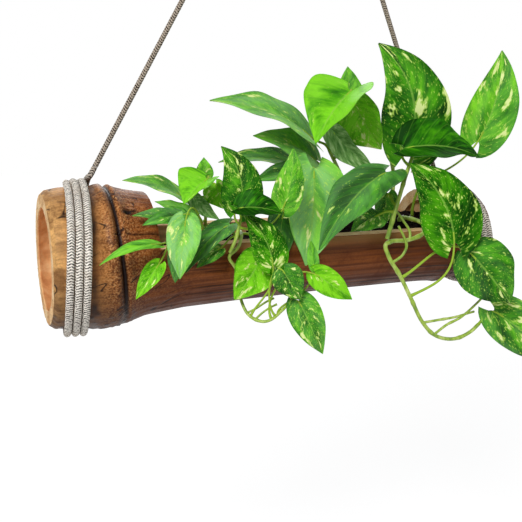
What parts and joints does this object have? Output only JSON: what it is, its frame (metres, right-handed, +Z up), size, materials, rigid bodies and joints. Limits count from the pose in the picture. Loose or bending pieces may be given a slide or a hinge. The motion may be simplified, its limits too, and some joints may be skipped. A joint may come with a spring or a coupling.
{
  "type": "hanging bamboo planter",
  "caption": "Length of bamboo culm with an open planting trough, filled with soil and trailing vines, slung from rope legs that meet in a knot and loop on an S hook.",
  "frame": {"origin": "inside top of the S hook's upper bend, where the planter hangs on its bar", "axes": "+X along the culm towards its thin right end, +Z up, -Y towards the planted front"},
  "size_m": [0.4311, 0.1475, 0.5551],
  "materials": {
    "bamboo": "satin",
    "soil": "matte",
    "rope": "matte",
    "steel": "satin",
    "leaf": "satin",
    "stem": "satin"
  },
  "bodies": {
    "hook": {"s_hook": "steel"},
    "loop": {"hanging_loop": "rope"},
    "knot": {"rope_knot": "rope"},
    "planter": {"bamboo_culm": "bamboo", "large_leaf_a": "leaf", "large_leaf_b": "leaf", "large_leaf_c": "leaf", "large_leaf_d": "leaf", "large_leaf_e": "leaf", "large_leaf_g": "leaf", "large_leaf_h": "leaf", "large_leaf_i": "leaf", "large_leaf_j": "leaf", "large_leaf_k": "leaf", "large_leaf_l": "leaf", "large_leaf_m": "leaf", "large_leaf_n": "leaf", "large_leaf_p": "leaf", "large_leaf_q": "leaf", "large_leaf_r": "leaf", "large_leaf_s": "leaf", "large_leaf_t": "leaf", "large_leaf_u": "leaf", "large_leaf_v": "leaf", "large_left_stem": "stem", "large_runner": "stem", "large_stem": "stem", "large_vine": "stem", "potting_soil": "soil", "rope_coil_left": "rope", "rope_coil_right": "rope", "rope_leg_left": "rope", "rope_leg_right": "rope", "small_leaf_a": "leaf", "small_leaf_b": "leaf", "small_leaf_c": "leaf", "small_leaf_d": "leaf", "small_leaf_e": "leaf", "small_leaf_g": "leaf", "small_leaf_h": "leaf", "small_leaf_i": "leaf", "small_leaf_j": "leaf", "small_leaf_k": "leaf", "small_leaf_l": "leaf", "small_leaf_m": "leaf", "small_leaf_n": "leaf", "small_leaf_o": "leaf", "small_leaf_p": "leaf", "small_leaf_q": "leaf", "small_leaf_r": "leaf", "small_leaf_s": "leaf", "small_leaf_t": "leaf", "small_leaf_v": "leaf", "small_leaf_w": "leaf", "small_leaf_x": "leaf", "small_left_stem": "stem", "small_stem": "stem", "small_vine": "stem"}
  },
  "joints": [
    {"name": "swing_along", "type": "hinge", "parent": "hook", "child": "loop", "pos_m": [0, 0, -0.04075], "axis": [0, 1, 0], "range_deg": [-25, 25]},
    {"name": "rope_twist", "type": "hinge", "parent": "loop", "child": "knot", "pos_m": [0, 0, -0.0635], "axis": [0, 0, 1], "range_deg": [-60, 60], "stiffness_Nm_per_rad": 0.02},
    {"name": "swing_across", "type": "hinge", "parent": "knot", "child": "planter", "pos_m": [0, 0, -0.08], "axis": [1, 0, 0], "range_deg": [-25, 25]}
  ]
}
